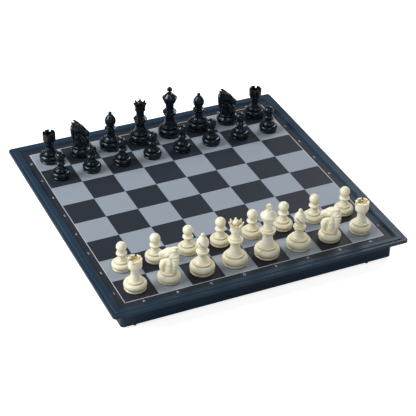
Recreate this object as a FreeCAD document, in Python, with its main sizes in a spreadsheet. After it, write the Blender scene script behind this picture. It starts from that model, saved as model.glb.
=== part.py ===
import FreeCAD, Part
import math
import operator
import os
from types import SimpleNamespace

import Sketcher

# A folding magnetic chess set: a plastic case in two equal halves on a hinge, a steel backed playing
# surface in each half, and 32 magnetic chessmen in the opening position.
# Millimetres. Origin on the table under the middle of the open board, +X along the ranks towards the
# h-file, +Y from the white side to the black side, +Z up.

DRIVING_SIZES = (
    ("square", 35.0, "side of a square of the board"),
    ("border_band", 6.6, "printed band outside the squares"),
    ("rim_width", 11.9, "plan width of the raised rim, inner foot to outer edge"),
    ("rim_height", 2.3, "top of the rim above the playing surface"),
    ("rim_bevel", 3.0, "plan width of the sloping inner side of the rim"),
    ("lip_width", 3.8, "plan width of the low outer step of the rim"),
    ("lip_drop", 0.8, "outer step below the top of the rim"),
    ("lip_under", 1.5, "underside of the outer step below the playing surface"),
    ("lip_overhang", 9.0, "how far the outer step hangs past the deck"),
    ("rim_slope", 0.5, "bevel between the outer step and the top of the rim"),
    ("rim_round", 0.5, "rounding of the long edges of the rim"),
    ("corner_round", 3.5, "rounding of the corners in plan"),
    ("fold_gap", 0.3, "gap between the two halves"),
    ("sheet_thick", 0.4, "printed board sheet"),
    ("plate_thick", 0.5, "steel plate under the sheet"),
    ("inlay_gap", 0.2, "side clearance of sheet and plate in their recess"),
    ("deck_thick", 2.0, "deck under the steel plate"),
    ("wall_depth", 23.2, "playing surface above the lower edge of the walls"),
    ("wall_thick", 2.0, "walls of the case"),
    ("wall_setback", 11.7, "wall face behind the outer edge of the rim"),
    ("rib_thick", 1.6, "stiffening rib under the deck"),
    ("rib_depth", 2.0, "drop of a rib below the deck"),
    ("rib_pitch", 72.0, "distance between ribs"),
    ("peg_length", 2.2, "closing peg below the edge of the wall"),
    ("peg_width", 3.0, "diameter of a closing peg"),
    ("peg_inset", 2.4, "axis of a peg behind the wall face"),
    ("peg_far", 132.0, "outer peg from the middle of the case"),
    ("peg_near", 120.0, "inner peg from the middle of the case"),
    ("socket_gap", 0.25, "radial clearance of a peg in its socket"),
    ("socket_depth", 3.0, "depth of a socket"),
    ("boss_width", 9.0, "boss that carries a peg or a socket"),
    ("boss_depth", 6.0, "boss from the wall face inwards"),
    ("boss_height", 8.0, "height of a boss"),
    ("barrel_width", 3.8, "diameter of a hinge knuckle"),
    ("barrel_relief", 0.4, "clearance round the knuckles of the other half"),
    ("hinge_drop", 0.1, "hinge axis below the edge of the walls"),
    ("hinge_spread", 105.0, "outer hinges from the middle of the case"),
    ("knuckle_long", 10.0, "length of a knuckle"),
    ("knuckle_gap", 0.3, "gap between neighbouring knuckles"),
    ("pin_width", 1.6, "diameter of a hinge pin"),
    ("pin_gap", 0.06, "radial clearance of the pin in the knuckles"),
    ("pad_thick", 0.5, "felt pad under a chessman"),
    ("pad_inset", 1.8, "edge of the pad inside the widest line of the foot"),
    ("magnet_thick", 3.0, "disc magnet in the foot"),
    ("magnet_gap", 0.1, "glue gap round the magnet"),
    ("plinth_high", 1.5, "upright band at the bottom of a foot"),
    ("plinth_inset", 0.5, "plinth inside the widest line of the foot"),
    ("groove_inset", 1.1, "groove over the plinth inside the widest line"),
    ("groove_high", 0.5, "height of the groove over the plinth"),
    ("shoulder_inset", 2.6, "upper edge of the belly inside the widest line"),
    ("bead_inset", 3.9, "bead over the belly inside the widest line"),
    ("bead_high", 2.0, "height of the bead"),
    ("bead_swell", 0.6, "swell of the bead"),
    ("flare_inset", 4.7, "start of the flared stem inside the widest line"),
    ("collar_edge", 0.8, "rounding of a collar's rim"),
    ("ring_inset", 1.4, "lower ring of a collar inside the collar"),
    ("cap_inset", 2.1, "upper ring of a collar inside the collar"),
    ("officer_belly", 10.2, "top of the belly of king, queen and bishop"),
    ("minor_belly", 9.2, "top of the belly of knight and rook"),
    ("pawn_belly", 8.1, "top of the belly of a pawn"),
    ("officer_magnet", 12.0, "magnet diameter of king, queen and bishop"),
    ("minor_magnet", 10.0, "magnet diameter of knight and rook"),
    ("pawn_magnet", 9.0, "magnet diameter of a pawn"),
    ("king_tall", 59.5, "king with its cross"),
    ("king_foot", 25.6, "king's foot diameter"),
    ("king_stem", 10.0, "king's stem diameter"),
    ("king_collar", 15.6, "king's collar diameter"),
    ("king_collar_level", 29.2, "king's collar above the board"),
    ("king_neck", 9.6, "king's neck diameter"),
    ("king_crown", 16.4, "king's crown diameter"),
    ("king_crown_level", 40.6, "underside of the crown above the board"),
    ("king_crown_high", 12.4, "crown with its dome"),
    ("king_band", 1.0, "upright edge of the crown"),
    ("cross_width", 5.6, "arms of the cross"),
    ("cross_bar", 3.2, "breadth of a bar of the cross"),
    ("cross_thick", 3.0, "thickness of the cross"),
    ("queen_tall", 48.4, "queen to the points of the coronet"),
    ("queen_foot", 25.3, "queen's foot diameter"),
    ("queen_stem", 9.8, "queen's stem diameter"),
    ("queen_collar", 15.2, "queen's collar diameter"),
    ("queen_collar_level", 28.2, "queen's collar above the board"),
    ("queen_neck", 9.3, "queen's neck diameter"),
    ("coronet_width", 15.4, "coronet across its points"),
    ("coronet_level", 38.8, "underside of the coronet above the board"),
    ("coronet_wall", 1.5, "thickness of the points"),
    ("coronet_cut", 2.6, "depth of the cuts between the points"),
    ("coronet_ball", 7.0, "ball inside the coronet"),
    ("bishop_tall", 45.0, "bishop with its ball"),
    ("bishop_foot", 25.0, "bishop's foot diameter"),
    ("bishop_stem", 8.4, "bishop's stem diameter"),
    ("bishop_collar", 13.0, "bishop's collar diameter"),
    ("bishop_collar_level", 24.2, "bishop's collar above the board"),
    ("bishop_neck", 7.8, "bishop's neck diameter"),
    ("mitre_width", 12.4, "mitre diameter"),
    ("ball_width", 4.0, "ball on the mitre"),
    ("mitre_cut", 0.9, "width of the slit in the mitre"),
    ("mitre_cut_depth", 2.2, "depth of the slit from the mitre's widest line"),
    ("rook_tall", 35.0, "rook"),
    ("rook_foot", 22.9, "rook's foot diameter"),
    ("rook_neck", 8.4, "rook's stem diameter"),
    ("tower_width", 13.9, "tower diameter"),
    ("tower_high", 10.4, "height of the tower"),
    ("tower_wall", 1.9, "wall of the tower"),
    ("tower_pit", 4.0, "depth of the hollow in the tower"),
    ("tower_cut", 1.9, "width of the gaps between the merlons"),
    ("tower_cut_depth", 2.7, "depth of the gaps between the merlons"),
    ("pawn_tall", 30.8, "pawn"),
    ("pawn_foot", 20.2, "pawn's foot diameter"),
    ("pawn_stem", 7.0, "pawn's stem diameter"),
    ("pawn_collar", 10.9, "pawn's collar diameter"),
    ("pawn_collar_level", 17.9, "pawn's collar above the board"),
    ("pawn_head", 10.6, "pawn's head diameter"),
    ("knight_tall", 39.6, "knight to its ears"),
    ("knight_foot", 22.9, "knight's foot diameter"),
    ("knight_reach", 10.4, "muzzle in front of the knight's axis"),
    ("knight_neck", 12.4, "breadth of the horse's shoulders"),
    ("knight_head", 8.8, "breadth of the horse's head"),
    ("knight_muzzle", 5.8, "breadth of the muzzle"),
    ("facing", -25.0, "turn of the white king and bishops about their axis, degrees"),
    ("knight_heading", 138.0, "turn of the white knights about their axis, degrees"),
)

FILES = "abcdefgh"
BACK_ROW = ("rook", "knight", "bishop", "queen", "king", "bishop", "knight", "rook")
HINGES = (-1, 0, 1)
KNUCKLES = 4
RIBS = (-1, 0, 1)
MERLONS = 6
POINTS = 8
HALF_TURN = 180.0
FULL_TURN = 360.0
WHITE_TURN = 0.0
MITRE_SLOPE = 42.0
LONG_CUT = 60.0
SAME_PLACE = 1e-3
DOME = "dome"
BALL_SEAT = 0.75
HEAD_SEAT = 0.74

OPERATIONS = {"+": operator.add, "-": operator.sub, "*": operator.mul, "/": operator.truediv}


class Size:
    """A length with its value and the sheet expression that it follows."""

    def __init__(self, text, value):
        self.text = text
        self.value = value

    def __add__(self, other):
        return combine(self, "+", other)

    def __radd__(self, other):
        return combine(other, "+", self)

    def __sub__(self, other):
        return combine(self, "-", other)

    def __rsub__(self, other):
        return combine(other, "-", self)

    def __mul__(self, other):
        return combine(self, "*", other)

    def __rmul__(self, other):
        return combine(other, "*", self)

    def __truediv__(self, other):
        return combine(self, "/", other)

    def __neg__(self):
        return combine(0, "-", self)


def as_size(number):
    return number if isinstance(number, Size) else Size(repr(float(number)), float(number))


def combine(left, sign, right):
    left = as_size(left)
    right = as_size(right)
    return Size(f"({left.text} {sign} {right.text})", OPERATIONS[sign](left.value, right.value))


doc = FreeCAD.newDocument("FoldingChessSet")
sheet = doc.addObject("Spreadsheet::Sheet", "Sizes")
for row, (alias, value, meaning) in enumerate(DRIVING_SIZES, start=1):
    sheet.set(f"A{row}", meaning)
    sheet.set(f"B{row}", str(value))
    sheet.setAlias(f"B{row}", alias)
doc.recompute()
dim = SimpleNamespace(**{alias: Size(f"Sizes.{alias}", value) for alias, value, meaning in DRIVING_SIZES})
ZERO = as_size(0)

# Levels and half widths that several pieces share.
field_half = dim.square * (len(FILES) / 2)
recess_half = field_half + dim.border_band
rim_half = recess_half + dim.rim_width
ridge_half = rim_half - dim.lip_width
deck_half = rim_half - dim.lip_overhang
wall_half = rim_half - dim.wall_setback
hinge_side = -dim.fold_gap / 2
wall_edge = dim.peg_length
playing_level = wall_edge + dim.wall_depth
deck_top = playing_level - dim.sheet_thick - dim.plate_thick
deck_bottom = deck_top - dim.deck_thick
rim_top = playing_level + dim.rim_height
lip_top = rim_top - dim.lip_drop
hinge_level = wall_edge - dim.hinge_drop
knuckle_pitch = dim.knuckle_long + dim.knuckle_gap


# Sketch helpers.
def new_sketch(body, name, role, lift=None, raise_to=None):
    """A sketch on one of the body's origin planes, lifted along the plane's normal or raised within it."""
    sketch = body.newObject("Sketcher::SketchObject", name)
    plane = next(feature for feature in body.Origin.OriginFeatures if feature.Role == role)
    sketch.AttachmentSupport = [(plane, "")]
    sketch.MapMode = "FlatFace"
    if lift is not None:
        sketch.setExpression("AttachmentOffset.Base.z", lift.text)
    if raise_to is not None:
        sketch.setExpression("AttachmentOffset.Base.y", raise_to.text)
    return sketch


def bind(sketch, size, *constraint):
    index = sketch.addConstraint(Sketcher.Constraint(*constraint, size.value))
    sketch.setExpression(f"Constraints[{index}]", size.text)


def fix_point(sketch, geometry, end, x, y):
    """Holds a point at its distances from the sketch's axes."""
    for kind, axis, size in (("DistanceX", -2, as_size(x)), ("DistanceY", -1, as_size(y))):
        if abs(size.value) < SAME_PLACE:
            sketch.addConstraint(Sketcher.Constraint("PointOnObject", geometry, end, axis))
        elif size.value > 0:
            bind(sketch, size, kind, -1, 1, geometry, end)
        else:
            bind(sketch, -size, kind, geometry, end, -1, 1)


def vector(point):
    return FreeCAD.Vector(as_size(point[0]).value, as_size(point[1]).value, 0)


def turns_clockwise(start, via, end):
    return (via - start).cross(end - via).z < 0


def dome_way(start, end):
    """A point half way along an arc that is centred on the upright axis and ends on it."""
    high = end.y - start.y
    radius = (start.x ** 2 + high ** 2) / (2 * high)
    middle = math.atan2(start.x, radius - high) / 2
    return FreeCAD.Vector(radius * math.sin(middle), end.y - radius + radius * math.cos(middle), 0)


def draw_outline(sketch, start, steps):
    """A closed outline. A step is an end point, or an arc: a point on the way, or DOME, and the end point."""
    pieces = []
    here = start
    for step in list(steps) + [(start,)]:
        end = step[-1]
        if len(step) == 1:
            geometry = sketch.addGeometry(Part.LineSegment(vector(here), vector(end)), False)
            pieces.append((geometry, 1, 2, here))
        else:
            dome = step[0] == DOME
            via = dome_way(vector(here), vector(end)) if dome else vector(step[0])
            way = (vector(here), via, vector(end))
            geometry = sketch.addGeometry(Part.Arc(*way), False)
            ends = (2, 1) if turns_clockwise(*way) else (1, 2)
            pieces.append((geometry, *ends, here))
            if dome:
                sketch.addConstraint(Sketcher.Constraint("PointOnObject", geometry, 3, -2))
            else:
                mark = sketch.addGeometry(Part.Point(via), True)
                sketch.addConstraint(Sketcher.Constraint("PointOnObject", mark, 1, geometry))
                fix_point(sketch, mark, 1, *step[0])
        here = end
    for (before, _, last, _), (after, first, _, corner) in zip(pieces[-1:] + pieces[:-1], pieces):
        sketch.addConstraint(Sketcher.Constraint("Coincident", before, last, after, first))
        fix_point(sketch, after, first, *corner)


def draw_box(sketch, low_x, low_y, high_x, high_y):
    draw_outline(sketch, (low_x, low_y), [((high_x, low_y),), ((high_x, high_y),), ((low_x, high_y),)])


def draw_circle(sketch, x, y, radius):
    circle = Part.Circle(vector((x, y)), FreeCAD.Vector(0, 0, 1), radius.value)
    geometry = sketch.addGeometry(circle, False)
    fix_point(sketch, geometry, 3, x, y)
    bind(sketch, radius, "Radius", geometry)


# Feature helpers.
def extrude(body, kind, sketch, length, both_ways=False, turned=False):
    feature = body.newObject(f"PartDesign::{kind}", f"{sketch.Name}_{kind.lower()}")
    feature.Profile = sketch
    feature.setExpression("Length", length.text)
    if both_ways:
        feature.SideType = "Symmetric"
    feature.Reversed = turned
    return feature


def turn(body, kind, sketch, axis):
    feature = body.newObject(f"PartDesign::{kind}", f"{sketch.Name}_{kind.lower()}")
    feature.Profile = sketch
    feature.ReferenceAxis = (sketch, [axis])
    feature.Angle = FULL_TURN
    return feature


def repeat_round(body, feature, count):
    pattern = body.newObject("PartDesign::PolarPattern", f"{feature.Name}_pattern")
    pattern.Originals = [feature]
    pattern.Axis = (next(axis for axis in body.Origin.OriginFeatures if axis.Role == "Z_Axis"), [""])
    pattern.Angle = FULL_TURN
    pattern.Occurrences = count
    body.Tip = pattern
    return pattern


def dress_edges(body, kind, name, size_name, size, test):
    """Rounds or bevels the edges of the body's last feature that pass the test."""
    doc.recompute()
    base = body.Tip
    names = [f"Edge{number}" for number, edge in enumerate(base.Shape.Edges, start=1) if test(edge)]
    if not names:
        raise RuntimeError(f"{name}: no edges found")
    feature = body.newObject(f"PartDesign::{kind}", name)
    feature.Base = (base, names)
    feature.setExpression(size_name, size.text)
    return feature


def new_body(name):
    return doc.addObject("PartDesign::Body", name)


# The case.
def is_outer_corner(edge):
    """Upright edges at the two outer corners of the rim, the deck and the walls."""
    low = edge.BoundBox
    if low.XLength > SAME_PLACE or low.YLength > SAME_PLACE:
        return False
    return any(
        abs(abs(low.XMin) - half.value) < SAME_PLACE and abs(low.YMin + half.value) < SAME_PLACE
        for half in (rim_half, ridge_half, deck_half, wall_half)
    )


def is_rim_edge(level, inside, outside):
    """Edges along the three sides of the rim at a level, between two distances from the middle."""

    def test(edge):
        box = edge.BoundBox
        if max(abs(box.ZMin - level.value), abs(box.ZMax - level.value)) > SAME_PLACE:
            return False
        if abs(box.YMin - hinge_side.value) < SAME_PLACE:
            return False
        middle = edge.valueAt((edge.FirstParameter + edge.LastParameter) / 2)
        return inside.value < max(abs(middle.x), -middle.y) < outside.value

    return test


def knuckle_middle(hinge, number):
    return dim.hinge_spread * hinge + knuckle_pitch * (number - (KNUCKLES - 1) / 2)


def draw_knuckles(sketch, first, radius, extra):
    """One rectangle on the hinge axis for every second knuckle of each hinge."""
    half = dim.knuckle_long / 2 + extra
    for hinge in HINGES:
        for number in range(first, KNUCKLES, 2):
            middle = knuckle_middle(hinge, number)
            draw_box(sketch, middle - half, ZERO, middle + half, radius)


def half_case(label, half_turn):
    """A half of the case, drawn as the near half: its hinge is on its far side."""
    body = new_body(label)

    deck = new_sketch(body, f"{label}_deck", "XY_Plane", lift=deck_bottom)
    draw_box(deck, -deck_half, -deck_half, deck_half, hinge_side)
    extrude(body, "Pad", deck, playing_level - deck_bottom)

    lip = new_sketch(body, f"{label}_lip", "XY_Plane", lift=playing_level - dim.lip_under)
    draw_box(lip, -rim_half, -rim_half, rim_half, hinge_side)
    extrude(body, "Pad", lip, lip_top - playing_level + dim.lip_under)

    ridge = new_sketch(body, f"{label}_ridge", "XY_Plane", lift=lip_top)
    draw_box(ridge, -ridge_half, -ridge_half, ridge_half, hinge_side)
    extrude(body, "Pad", ridge, dim.lip_drop)

    recess = new_sketch(body, f"{label}_recess", "XY_Plane", lift=rim_top)
    draw_box(recess, -recess_half, -recess_half, recess_half, dim.fold_gap)
    extrude(body, "Pocket", recess, rim_top - deck_top)

    bevel = new_sketch(body, f"{label}_bevel", "XY_Plane", lift=rim_top)
    wide = recess_half + dim.rim_bevel
    draw_box(bevel, -wide, -wide, wide, dim.rim_width)
    slope = extrude(body, "Pocket", bevel, dim.rim_height)
    slope.setExpression("TaperAngle", f"-atan({dim.rim_bevel.text} / {dim.rim_height.text})")

    walls = new_sketch(body, f"{label}_walls", "XY_Plane", lift=wall_edge)
    inner = wall_half - dim.wall_thick
    draw_box(walls, -wall_half, -wall_half, wall_half, hinge_side)
    draw_box(walls, -inner, -inner, inner, hinge_side - dim.wall_thick)
    extrude(body, "Pad", walls, deck_bottom - wall_edge)

    ribs = new_sketch(body, f"{label}_ribs", "XY_Plane", lift=deck_bottom)
    for rib in RIBS:
        middle = dim.rib_pitch * rib
        half = dim.rib_thick / 2
        draw_box(ribs, middle - half, -inner, middle + half, hinge_side - dim.wall_thick)
    extrude(body, "Pad", ribs, dim.rib_depth, turned=True)

    peg_row = dim.peg_inset - wall_half
    bosses = new_sketch(body, f"{label}_bosses", "XY_Plane", lift=wall_edge)
    for middle in (-dim.peg_far, -dim.peg_near, dim.peg_near, dim.peg_far):
        half = dim.boss_width / 2
        draw_box(bosses, middle - half, -inner, middle + half, dim.boss_depth - wall_half)
    extrude(body, "Pad", bosses, dim.boss_height)

    pegs = new_sketch(body, f"{label}_pegs", "XY_Plane")
    for middle in (-dim.peg_far, dim.peg_near):
        draw_circle(pegs, middle, peg_row, dim.peg_width / 2)
    extrude(body, "Pad", pegs, dim.peg_length)

    sockets = new_sketch(body, f"{label}_sockets", "XY_Plane", lift=wall_edge)
    for middle in (-dim.peg_near, dim.peg_far):
        draw_circle(sockets, middle, peg_row, dim.peg_width / 2 + dim.socket_gap)
    extrude(body, "Pocket", sockets, dim.socket_depth, turned=True)

    barrel = dim.barrel_width / 2
    relief = new_sketch(body, f"{label}_relief", "XZ_Plane", raise_to=hinge_level)
    draw_knuckles(relief, 1, barrel + dim.barrel_relief, dim.knuckle_gap)
    turn(body, "Groove", relief, "H_Axis")

    knuckles = new_sketch(body, f"{label}_knuckles", "XZ_Plane", raise_to=hinge_level)
    draw_knuckles(knuckles, 0, barrel, ZERO)
    turn(body, "Revolution", knuckles, "H_Axis")

    bore = new_sketch(body, f"{label}_bore", "XZ_Plane", raise_to=hinge_level)
    draw_knuckles(bore, 0, dim.pin_width / 2 + dim.pin_gap, ZERO)
    turn(body, "Groove", bore, "H_Axis")

    middle_of_rim = (ridge_half + recess_half + dim.rim_bevel) / 2
    dress_edges(body, "Fillet", f"{label}_corners", "Radius", dim.corner_round, is_outer_corner)
    outer_ridge = is_rim_edge(rim_top, middle_of_rim, rim_half)
    dress_edges(body, "Chamfer", f"{label}_slope", "Size", dim.rim_slope, outer_ridge)
    lip_edge = is_rim_edge(lip_top, ridge_half + dim.fold_gap, rim_half + dim.fold_gap)
    dress_edges(body, "Fillet", f"{label}_lip_round", "Radius", dim.rim_round, lip_edge)

    body.Placement = FreeCAD.Placement(FreeCAD.Vector(), FreeCAD.Vector(0, 0, 1), half_turn)
    return body


def inlay(label, near_side, bottom, thick):
    """A flat sheet or plate in the recess of one half."""
    half = recess_half - dim.inlay_gap
    box = doc.addObject("Part::Box", label)
    box.setExpression("Length", (half * 2).text)
    box.setExpression("Width", (half + hinge_side).text)
    box.setExpression("Height", thick.text)
    box.setExpression("Placement.Base.x", (-half).text)
    box.setExpression("Placement.Base.y", (-half if near_side else -hinge_side).text)
    box.setExpression("Placement.Base.z", bottom.text)
    return box


def hinge_pin(label, hinge):
    length = knuckle_pitch * KNUCKLES - dim.knuckle_gap
    pin = doc.addObject("Part::Cylinder", label)
    pin.setExpression("Radius", (dim.pin_width / 2).text)
    pin.setExpression("Height", length.text)
    pin.Placement = FreeCAD.Placement(FreeCAD.Vector(), FreeCAD.Vector(0, 1, 0), HALF_TURN / 2)
    pin.setExpression("Placement.Base.x", (dim.hinge_spread * hinge - length / 2).text)
    pin.setExpression("Placement.Base.z", hinge_level.text)
    return pin


# The chessmen, each standing on the origin.
def foot_outline(foot, belly, magnet):
    """Start point and steps of the turned outline from the magnet's pocket to the bead over the belly."""
    radius = foot / 2
    bottom = dim.pad_thick
    pocket = magnet / 2 + dim.magnet_gap
    pocket_top = bottom + dim.magnet_thick + dim.magnet_gap
    plinth = bottom + dim.plinth_high
    groove = plinth + dim.groove_high
    bead = belly + dim.bead_high
    rim = radius - dim.plinth_inset
    steps = [
        ((pocket, pocket_top),),
        ((pocket, bottom),),
        ((rim - dim.plinth_inset, bottom),),
        ((rim, bottom + dim.plinth_inset),),
        ((rim, plinth),),
        ((radius - dim.groove_inset, groove),),
        ((radius, groove + (belly - groove) * 0.36), (radius - dim.shoulder_inset, belly)),
        ((radius - dim.bead_inset, belly),),
        ((radius - dim.bead_inset + dim.bead_swell, (belly + bead) / 2), (radius - dim.bead_inset, bead)),
    ]
    return (ZERO, pocket_top), steps


def flare_steps(foot, belly, stem, top):
    """The concave flare from the bead up to the top of the stem."""
    wide = foot / 2 - dim.flare_inset
    low = belly + dim.bead_high
    way = (stem / 2 + (wide - stem / 2) * 0.24, low + (top - low) * 0.36)
    return [((wide, low),), (way, (stem / 2, top))]


def collar_steps(collar, neck, level):
    """A ring, a wide rounded disc and a cap ring, stacked on the stem."""
    radius = collar / 2
    edge = dim.collar_edge
    ring = radius - dim.ring_inset
    cap = radius - dim.cap_inset
    return [
        ((ring, level - edge * 4),),
        ((ring + edge / 2, level - edge * 3.25), (ring, level - edge * 2.5)),
        ((ring - edge / 2, level - edge * 2.2),),
        ((radius - edge, level - edge * 1.2),),
        ((radius, level), (radius - edge, level + edge * 1.2)),
        ((cap, level + edge * 1.8),),
        ((cap + edge / 2, level + edge * 2.6), (cap, level + edge * 3.4)),
        ((neck / 2, level + edge * 3.8),),
    ]


def collar_bottom(level):
    return level - dim.collar_edge * 4.8


def turned_body(name, start, steps):
    body = new_body(name)
    outline = new_sketch(body, f"{name}_outline", "XZ_Plane")
    draw_outline(outline, start, steps)
    turn(body, "Revolution", outline, "V_Axis")
    return body


def king_body():
    start, steps = foot_outline(dim.king_foot, dim.officer_belly, dim.officer_magnet)
    level = dim.king_collar_level
    steps += flare_steps(dim.king_foot, dim.officer_belly, dim.king_stem, collar_bottom(level))
    steps += collar_steps(dim.king_collar, dim.king_neck, level)
    neck = dim.king_neck / 2
    crown = dim.king_crown / 2
    under = dim.king_crown_level
    rim = under + dim.king_crown_high * 0.46
    dome = under + dim.king_crown_high
    neck_low = level + dim.collar_edge * 3.8
    steps += [
        ((neck - dim.collar_edge / 3, (neck_low + under) / 2), (neck + dim.collar_edge / 3, under)),
        ((neck + dim.collar_edge * 1.6, under + dim.collar_edge / 2),),
        ((crown, rim),),
        ((crown, rim + dim.king_band),),
        ((crown * 0.82, rim + dim.king_band * 2),),
        ((crown * 0.6, dome - dim.collar_edge * 3), (crown * 0.42, dome - dim.collar_edge)),
        ((dim.cross_bar / 2, dome),),
        ((ZERO, dome),),
    ]
    body = turned_body("king_body", start, steps)
    cross = new_sketch(body, "king_cross", "XZ_Plane")
    bar = dim.cross_bar / 2
    arm = dim.cross_width / 2
    foot = dome - dim.collar_edge
    arms = (dome + dim.king_tall) / 2 + dim.collar_edge / 2
    waist = bar * 0.66
    right = [
        ((waist, arms - waist),),
        ((arm, arms - bar),),
        ((arm, arms + bar),),
        ((waist, arms + waist),),
        ((bar, dim.king_tall),),
    ]
    left = [((-x, z),) for ((x, z),) in reversed(right)]
    draw_outline(cross, (bar, foot), right + left + [((-bar, foot),)])
    extrude(body, "Pad", cross, dim.cross_thick, both_ways=True)
    return body


def queen_body():
    start, steps = foot_outline(dim.queen_foot, dim.officer_belly, dim.officer_magnet)
    level = dim.queen_collar_level
    steps += flare_steps(dim.queen_foot, dim.officer_belly, dim.queen_stem, collar_bottom(level))
    steps += collar_steps(dim.queen_collar, dim.queen_neck, level)
    neck = dim.queen_neck / 2
    tip = dim.coronet_width / 2
    under = dim.coronet_level
    top = dim.queen_tall
    neck_low = level + dim.collar_edge * 3.8
    inner = tip - dim.coronet_wall
    floor = top - dim.coronet_cut - dim.collar_edge
    ball = dim.coronet_ball / 2
    steps += [
        ((neck - dim.collar_edge / 3, (neck_low + under) / 2), (neck + dim.collar_edge / 3, under)),
        ((neck + dim.collar_edge * 1.4, under + dim.collar_edge / 2),),
        ((neck * 0.46 + tip * 0.5, (under + top) / 2), (tip, top)),
        ((inner, top),),
        ((inner - dim.coronet_wall, floor),),
        ((ball * BALL_SEAT, floor),),
        (DOME, (ZERO, floor + ball * (1 + math.sqrt(1 - BALL_SEAT ** 2)))),
    ]
    body = turned_body("queen_body", start, steps)
    cut = new_sketch(body, "queen_cut", "YZ_Plane", lift=inner - dim.coronet_wall)
    half = tip * math.sin(math.pi / POINTS)
    over = top + dim.collar_edge
    draw_outline(cut, (-half, over), [((-half * 0.34, top - dim.coronet_cut * 0.72),),
                                      ((ZERO, top - dim.coronet_cut), (half * 0.34, top - dim.coronet_cut * 0.72)),
                                      ((half, over),)])
    repeat_round(body, extrude(body, "Pocket", cut, dim.coronet_width, turned=True), POINTS)
    return body


def bishop_body():
    start, steps = foot_outline(dim.bishop_foot, dim.officer_belly, dim.officer_magnet)
    level = dim.bishop_collar_level
    steps += flare_steps(dim.bishop_foot, dim.officer_belly, dim.bishop_stem, collar_bottom(level))
    steps += collar_steps(dim.bishop_collar, dim.bishop_neck, level)
    neck = dim.bishop_neck / 2
    mitre = dim.mitre_width / 2
    ball = dim.ball_width / 2
    low = level + dim.collar_edge * 5
    high = dim.bishop_tall - ball * (1 + math.sqrt(1 - BALL_SEAT ** 2))
    widest = low + (high - low) * 0.4
    shoulder = (mitre * 0.72, low + (high - low) * 0.76)
    steps += [
        ((neck, low),),
        ((mitre, widest), shoulder),
        ((mitre * 0.47, low + (high - low) * 0.92), (ball * BALL_SEAT, high)),
        (DOME, (ZERO, dim.bishop_tall)),
    ]
    body = turned_body("bishop_body", start, steps)
    slit = new_sketch(body, "bishop_slit", "XZ_Plane", lift=mitre - dim.mitre_cut_depth)
    across = dim.mitre_width * math.cos(math.radians(MITRE_SLOPE))
    rise = dim.mitre_width * math.sin(math.radians(MITRE_SLOPE))
    thick = dim.mitre_cut / math.cos(math.radians(MITRE_SLOPE))
    left_x = mitre * -0.62
    left_z = widest + rise * 0.28
    draw_outline(slit, (left_x, left_z), [((left_x, left_z + thick),),
                                          ((left_x + across, left_z + thick - rise),),
                                          ((left_x + across, left_z - rise),)])
    extrude(body, "Pocket", slit, dim.mitre_width, turned=True)
    return body


def rook_body():
    start, steps = foot_outline(dim.rook_foot, dim.minor_belly, dim.minor_magnet)
    neck = dim.rook_neck / 2
    tower = dim.tower_width / 2
    top = dim.rook_tall
    under = top - dim.tower_high
    waist = under - dim.tower_wall * 2
    steps += flare_steps(dim.rook_foot, dim.minor_belly, dim.rook_neck, waist)
    inner = tower - dim.tower_wall
    steps += [
        ((neck + dim.tower_wall * 0.22, waist + dim.tower_wall * 1.2), (neck + dim.tower_wall, under)),
        ((tower - dim.collar_edge / 2, under + dim.collar_edge),),
        ((tower, under + dim.collar_edge * 3),),
        ((tower, top),),
        ((inner, top),),
        ((inner, top - dim.tower_pit),),
        ((ZERO, top - dim.tower_pit),),
    ]
    body = turned_body("rook_body", start, steps)
    cut = new_sketch(body, "rook_cut", "YZ_Plane", lift=inner - dim.tower_wall / 2)
    half = dim.tower_cut / 2
    draw_box(cut, -half, top - dim.tower_cut_depth, half, top + dim.collar_edge)
    repeat_round(body, extrude(body, "Pocket", cut, dim.tower_width, turned=True), MERLONS)
    return body


def pawn_body():
    start, steps = foot_outline(dim.pawn_foot, dim.pawn_belly, dim.pawn_magnet)
    level = dim.pawn_collar_level
    edge = dim.collar_edge * 1.3
    collar = dim.pawn_collar / 2
    head = dim.pawn_head / 2
    neck = head * HEAD_SEAT
    steps += flare_steps(dim.pawn_foot, dim.pawn_belly, dim.pawn_stem, level - edge * 1.5)
    steps += [
        ((collar - edge, level - edge * 1.1),),
        ((collar, level), (collar - edge, level + edge * 1.1)),
        ((neck, level + edge * 1.6),),
        ((neck, dim.pawn_tall - head * (1 + math.sqrt(1 - HEAD_SEAT ** 2))),),
        (DOME, (ZERO, dim.pawn_tall)),
    ]
    return turned_body("pawn_body", start, steps)


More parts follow.
